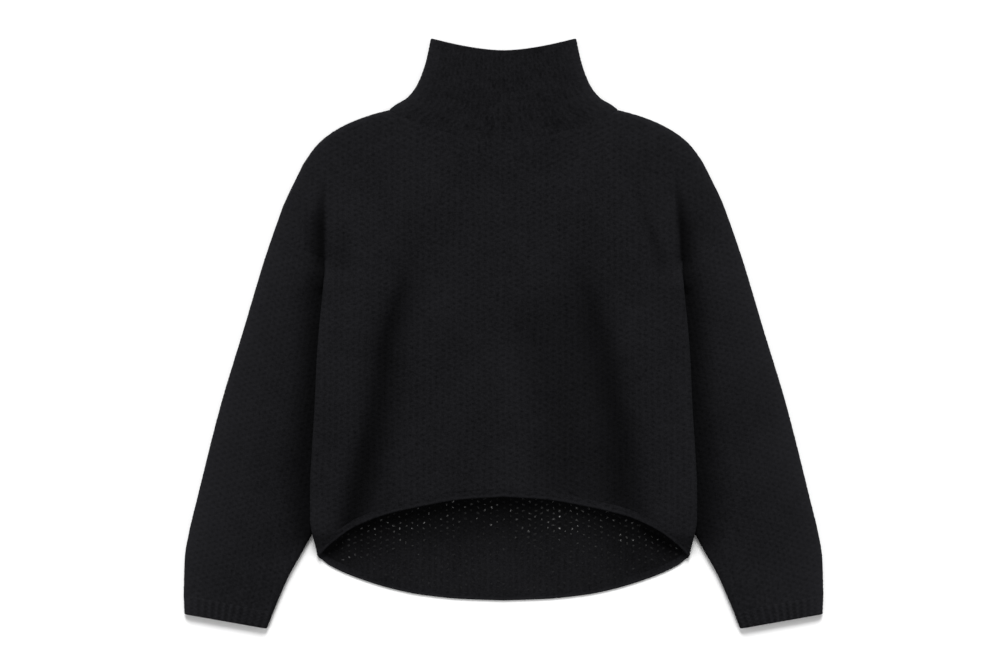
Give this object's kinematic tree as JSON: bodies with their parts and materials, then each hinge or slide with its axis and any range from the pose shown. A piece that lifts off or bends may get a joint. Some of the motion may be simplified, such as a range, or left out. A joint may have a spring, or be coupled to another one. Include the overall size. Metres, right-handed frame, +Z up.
{
  "type": "turtleneck sweater",
  "caption": "Chunky-knit funnel-neck sweater laid flat on its back: dropped shoulders, full-length sleeves with ribbed cuffs, ribbed collar, short curved front hem, longer back hem.",
  "frame": {"origin": "on the surface that the garment lies on, under the middle of its overall rectangle", "axes": "+X to the viewer's right across the laid garment, +Y from the hem to the collar, +Z up from the surface, out of the front"},
  "size_m": [0.814, 0.7506, 0.027],
  "materials": {
    "knit_front": "matte black chunky knit with a staggered stitch pattern and a faint fuzzy sheen",
    "knit_back": "matte black chunky knit, the same cloth as the front",
    "knit_sleeve": "matte black chunky knit with its stitch columns running down the sleeve",
    "knit_rib": "matte black ribbed knit",
    "knit_welt": "matte black narrow knitted welt"
  },
  "bodies": {
    "root": {"front_panel": "knit_front", "back_panel": "knit_back", "left_sleeve": "knit_sleeve", "right_sleeve": "knit_sleeve", "collar": "knit_rib", "left_cuff": "knit_rib", "right_cuff": "knit_rib", "front_hem": "knit_welt", "back_hem": "knit_welt"}
  },
  "joints": []
}
